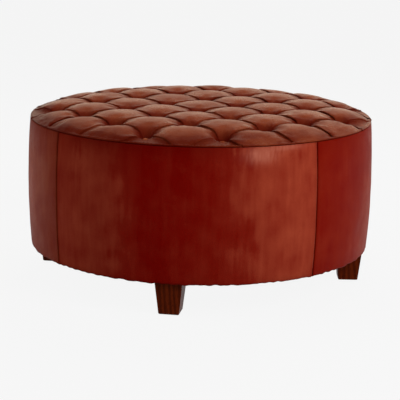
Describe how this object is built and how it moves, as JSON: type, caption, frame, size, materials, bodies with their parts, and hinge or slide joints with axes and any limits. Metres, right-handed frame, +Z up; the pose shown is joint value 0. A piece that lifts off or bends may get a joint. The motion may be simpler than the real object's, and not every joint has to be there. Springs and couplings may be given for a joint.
{
  "type": "ottoman coffee table",
  "caption": "Round leather ottoman coffee table: deep diamond tufted top over a tall plain side band, on short square tapered wood legs.",
  "frame": {"origin": "on the floor under the drum's axis", "axes": "+Z up along the drum's axis, front leg towards -Y, right leg towards +X"},
  "size_m": [0.914, 0.914, 0.457],
  "materials": {
    "top_leather": "waxed pull-up leather, soft sheen, worn lighter on the crests",
    "band_leather": "waxed pull-up leather, mottled red-brown, soft sheen",
    "button_leather": "leather over a metal button shell",
    "wadding": "bonded polyester wadding",
    "foam": "open-cell upholstery foam",
    "twine": "waxed tufting twine",
    "washer_plastic": "moulded nylon",
    "plywood": "raw sanded plywood",
    "hardboard": "raw hardboard",
    "softwood": "planed softwood",
    "leg_wood": "dark red-brown stain under satin lacquer",
    "steel": "zinc plated",
    "glide_plastic": "moulded nylon",
    "dust_cloth": "black nonwoven cloth"
  },
  "bodies": {
    "root": {"top_cover": "top_leather", "buttons": "button_leather", "top_wadding": "wadding", "foam_pad": "foam", "tufting_twine": "twine", "knot_washers": "washer_plastic", "deck_board": "plywood", "posts": "softwood", "deck_screws": "steel", "base_screws": "steel", "side_skin": "hardboard", "side_wadding": "wadding", "cover_staples": "steel", "base_board": "plywood", "band_right": "band_leather", "band_back": "band_leather", "band_left": "band_leather", "band_front": "band_leather", "dust_cover": "dust_cloth", "leg_blocks": "softwood", "t_nuts": "steel", "hanger_bolts": "steel", "leg_right": "leg_wood", "leg_back": "leg_wood", "leg_left": "leg_wood", "leg_front": "leg_wood", "glides": "glide_plastic"}
  },
  "joints": []
}
